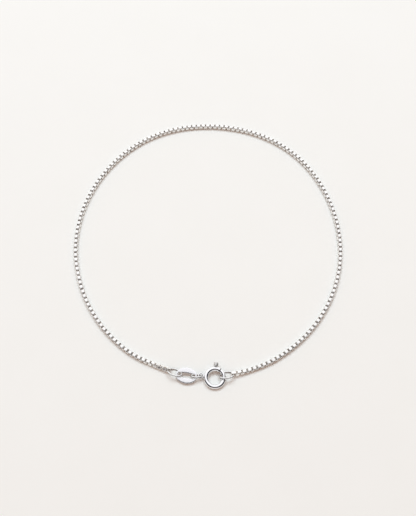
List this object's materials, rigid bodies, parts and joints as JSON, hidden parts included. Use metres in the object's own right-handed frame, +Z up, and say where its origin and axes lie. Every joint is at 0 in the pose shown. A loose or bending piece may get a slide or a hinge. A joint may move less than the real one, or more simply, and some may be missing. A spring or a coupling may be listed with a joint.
{
  "type": "box-chain anklet with spring-ring clasp",
  "caption": "Fine silver box-chain anklet lying closed in a round loop, with an oval tag, jump rings and a spring-ring clasp whose gate slides.",
  "frame": {"origin": "centre of the loop's bounding box, on the surface that it lies on", "axes": "+Z up from that surface, +Y from the clasp towards the far side of the loop, +X to the right seen from above with the clasp nearest"},
  "size_m": [0.0762, 0.0799, 0.0021],
  "materials": {
    "silver_chain": "polished silver with darker recesses",
    "silver_polished": "bright polished silver",
    "silver_tag": "bright stamped silver sheet, lightly brushed"
  },
  "bodies": {
    "anklet": {"box_chain": "silver_chain", "end_link_left": "silver_chain", "end_link_right": "silver_chain", "jump_ring_left": "silver_polished", "oval_tag": "silver_tag", "jump_ring_small": "silver_polished", "spring_ring_body": "silver_polished", "catch_ring": "silver_polished"},
    "gate": {"spring_ring_gate": "silver_polished"}
  },
  "joints": [
    {"name": "gate_slide", "type": "hinge", "parent": "anklet", "child": "gate", "pos_m": [0.00185, -0.03665, 0.00095], "axis": [0, -0.1458, 0.9893], "range_deg": [0, 62], "stiffness_Nm_per_rad": 0.0015, "springref_deg": -34.38}
  ]
}
